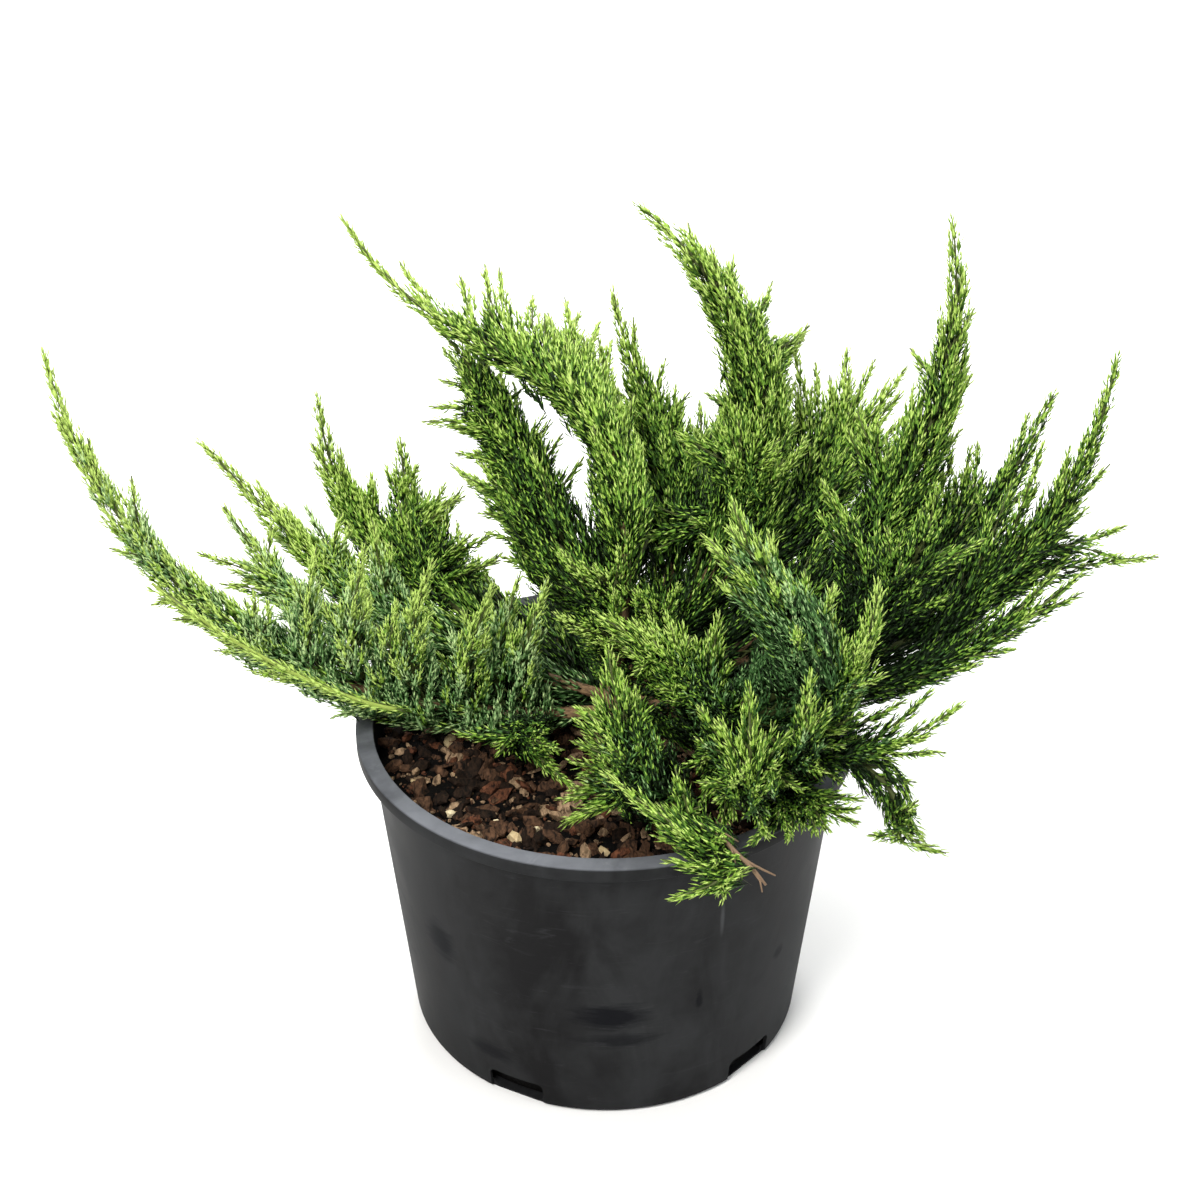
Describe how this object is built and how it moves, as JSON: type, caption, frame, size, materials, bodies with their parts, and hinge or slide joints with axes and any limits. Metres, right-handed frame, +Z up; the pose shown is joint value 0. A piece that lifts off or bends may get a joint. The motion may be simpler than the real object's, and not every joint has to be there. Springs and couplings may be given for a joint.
{
  "type": "potted spreading juniper",
  "caption": "Young spreading juniper shrub with upswept feathery plumes, in a squat black nursery pot of bark soil.",
  "frame": {"origin": "middle of the pot's flat underside, on the pot's axis", "axes": "+Z up out of the pot, +X to the right of the plant's front, +Y away from the front"},
  "size_m": [0.593, 0.4255, 0.467],
  "materials": {
    "pot_plastic": "satin",
    "bark_soil": "matte",
    "bark": "matte",
    "foliage": "matte"
  },
  "bodies": {
    "root": {"back": "foliage", "back_left": "foliage", "back_mid": "foliage", "back_right": "foliage", "back_side": "foliage", "back_upper": "foliage", "big_plume": "foliage", "bough_back": "bark", "bough_back_left": "bark", "bough_back_right": "bark", "bough_back_side": "bark", "bough_back_upper": "bark", "bough_centre_left": "bark", "bough_front_low": "bark", "bough_front_right": "bark", "bough_left_arm": "bark", "bough_left_back": "bark", "bough_left_low": "bark", "bough_right_front": "bark", "bough_right_low": "bark", "bough_right_spire": "bark", "bough_right_tall": "bark", "bough_right_upper": "bark", "bough_top": "bark", "bough_top_right": "bark", "bough_upper_left": "bark", "bough_upper_left_inner": "bark", "centre": "foliage", "centre_left": "foliage", "front_drape": "foliage", "front_lean": "foliage", "front_low": "foliage", "front_plume": "foliage", "front_plume_outer": "foliage", "front_right": "foliage", "front_spire": "foliage", "left_arm": "foliage", "left_arm_end": "foliage", "left_arm_middle": "foliage", "left_back": "foliage", "left_low": "foliage", "left_low_front": "foliage", "left_spire": "foliage", "mid_right": "foliage", "pot": "pot_plastic", "right_droop": "foliage", "right_front": "foliage", "right_low": "foliage", "right_spire": "foliage", "right_spire_end": "foliage", "right_tall": "foliage", "right_upper": "foliage", "skirt": "foliage", "soil": "bark_soil", "stem": "bark", "top": "foliage", "top_right": "foliage", "upper_left": "foliage", "upper_left_inner": "foliage"}
  },
  "joints": []
}
